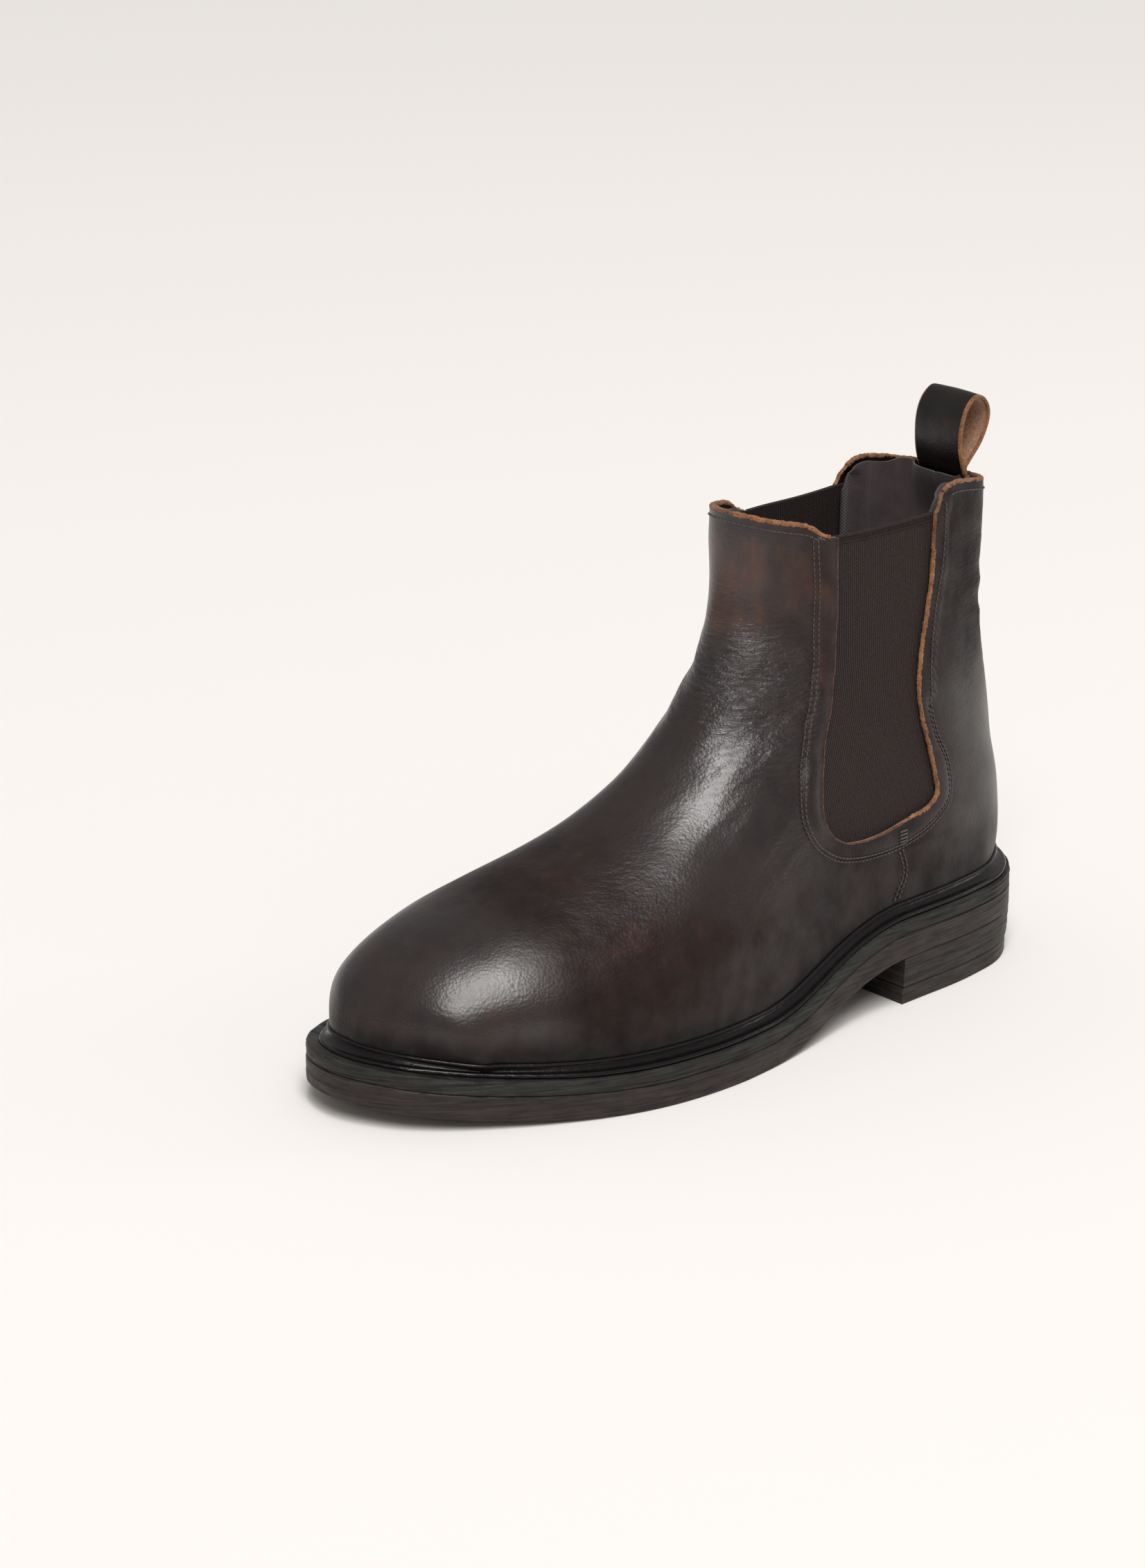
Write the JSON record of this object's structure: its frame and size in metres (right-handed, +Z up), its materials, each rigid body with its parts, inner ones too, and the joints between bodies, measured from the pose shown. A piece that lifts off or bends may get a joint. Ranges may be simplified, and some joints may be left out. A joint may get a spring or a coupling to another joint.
{
  "type": "chelsea boot",
  "caption": "Ankle-high slip-on boot with elastic side panels, a leather pull loop at the back, a raised welt and a low stacked heel; it holds a foot and stands on its sole.",
  "frame": {"origin": "on the floor, under the middle of the boot's bounding box", "axes": "+Z up, -Y towards the toe, +Y towards the heel, +X towards the outer (lateral) side of this left boot"},
  "size_m": [0.1114, 0.3018, 0.2071],
  "materials": {
    "upper_leather": "semi-gloss",
    "elastic_web": "matte ribbed",
    "textile_lining": "matte",
    "stiffener": "matte",
    "board": "matte",
    "cork": "matte",
    "steel": "brushed",
    "welt_rubber": "glossy",
    "midsole_leather": "matte, edge-stained",
    "sole_leather": "matte, edge-stained",
    "heel_rubber": "matte",
    "sock_leather": "matte"
  },
  "bodies": {
    "boot": {"vamp": "upper_leather", "quarter_lateral": "upper_leather", "quarter_medial": "upper_leather", "gore_lateral": "elastic_web", "gore_medial": "elastic_web", "toe_puff": "stiffener", "heel_counter": "stiffener", "pull_tab_ends": "upper_leather", "vamp_lining": "textile_lining", "quarter_lining": "textile_lining", "heel_grip": "textile_lining", "outsole": "sole_leather", "midsole": "midsole_leather", "insole_board": "board", "sock_liner": "sock_leather", "cork_filler": "cork", "shank": "steel", "welt": "welt_rubber", "heel_top_piece": "heel_rubber", "heel_lift_1": "sole_leather", "heel_lift_2": "sole_leather", "heel_lift_3": "sole_leather", "heel_nail_1": "steel", "heel_nail_2": "steel", "heel_nail_3": "steel", "heel_nail_4": "steel"},
    "pull_tab": {"pull_tab": "upper_leather"}
  },
  "joints": [
    {"name": "pull_tab_swing", "type": "hinge", "parent": "boot", "child": "pull_tab", "pos_m": [-0.0051, 0.1232, 0.1804], "axis": [1, 0, 0], "range_deg": [-45, 70], "stiffness_Nm_per_rad": 0.02}
  ]
}
